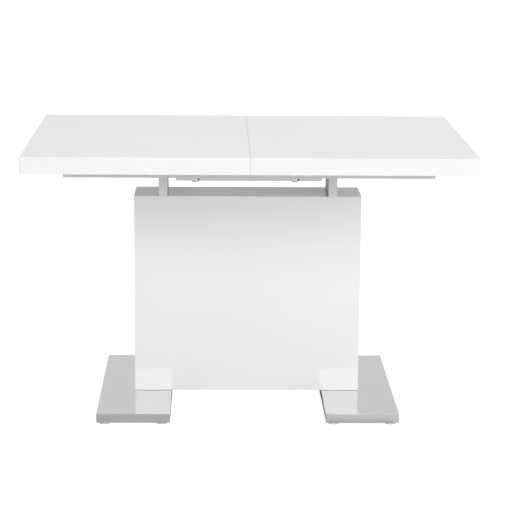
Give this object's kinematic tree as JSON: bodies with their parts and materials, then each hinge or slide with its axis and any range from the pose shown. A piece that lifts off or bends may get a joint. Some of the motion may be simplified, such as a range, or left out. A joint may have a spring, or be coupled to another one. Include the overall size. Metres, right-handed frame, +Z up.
{
  "type": "extendable dining table",
  "caption": "Extendable dining table: top halves slide apart over a stored folding leaf, on a gloss white box pedestal with steel-covered base plates.",
  "frame": {"origin": "on the floor under the middle of the table", "axes": "+X along the table's length, +Y from the front edge to the back edge, +Z up"},
  "size_m": [1.2, 0.8, 0.755],
  "materials": {
    "white_lacquer": "white high-gloss lacquer on board",
    "satin_steel": "satin stainless steel",
    "grey_paint": "light grey powder coat, satin",
    "bolt_steel": "zinc-plated steel",
    "raw_board": "uncoated fibreboard",
    "pale_plastic": "pale moulded plastic",
    "black_rubber": "black rubber",
    "beech": "waxed beech"
  },
  "bodies": {
    "base": {"base_cover_left": "satin_steel", "base_core_left": "raw_board", "pedestal_rib_left": "raw_board", "post_left": "grey_paint", "cross_beam_left": "grey_paint", "leaf_bearing_left": "grey_paint", "pedestal_side_left": "white_lacquer", "base_bolt_left_front": "bolt_steel", "post_bolt_left_front": "bolt_steel", "stop_bolt_front_left": "bolt_steel", "glide_left_front_outer": "pale_plastic", "glide_left_front_inner": "pale_plastic", "base_bolt_left_back": "bolt_steel", "post_bolt_left_back": "bolt_steel", "stop_bolt_back_left": "bolt_steel", "glide_left_back_outer": "pale_plastic", "glide_left_back_inner": "pale_plastic", "base_cover_right": "satin_steel", "base_core_right": "raw_board", "pedestal_rib_right": "raw_board", "post_right": "grey_paint", "cross_beam_right": "grey_paint", "leaf_bearing_right": "grey_paint", "pedestal_side_right": "white_lacquer", "base_bolt_right_front": "bolt_steel", "post_bolt_right_front": "bolt_steel", "stop_bolt_front_right": "bolt_steel", "glide_right_front_outer": "pale_plastic", "glide_right_front_inner": "pale_plastic", "base_bolt_right_back": "bolt_steel", "post_bolt_right_back": "bolt_steel", "stop_bolt_back_right": "bolt_steel", "glide_right_back_outer": "pale_plastic", "glide_right_back_inner": "pale_plastic", "runner_front": "grey_paint", "runner_back": "grey_paint", "leaf_rest_bar": "grey_paint", "pedestal_front": "white_lacquer", "pedestal_back": "white_lacquer", "pedestal_top": "white_lacquer", "pedestal_bottom": "white_lacquer"},
    "left_half": {"tabletop_left": "white_lacquer", "slider_left_front": "beech", "slider_left_back": "beech", "seam_dowel_front": "beech", "seam_dowel_back": "beech"},
    "right_half": {"tabletop_right": "white_lacquer", "slider_right_front": "beech", "slider_right_back": "beech"},
    "leaf": {"leaf_arm_left": "satin_steel", "leaf_hinge_left": "satin_steel", "leaf_pivot_left": "bolt_steel", "leaf_bumper_left": "black_rubber", "leaf_arm_right": "satin_steel", "leaf_hinge_right": "satin_steel", "leaf_pivot_right": "bolt_steel", "leaf_bumper_right": "black_rubber", "leaf_upper": "white_lacquer", "leaf_lower": "white_lacquer"}
  },
  "joints": [
    {"name": "left_half_slide", "type": "slide", "parent": "base", "child": "left_half", "axis": [-1, 0, 0], "range_m": [0, 0.2]},
    {"name": "right_half_slide", "type": "slide", "parent": "base", "child": "right_half", "axis": [1, 0, 0], "range_m": [0, 0.2]},
    {"name": "leaf_swing", "type": "hinge", "parent": "base", "child": "leaf", "pos_m": [0, -0.1, 0.716], "axis": [1, 0, 0], "range_deg": [0, 6]}
  ]
}
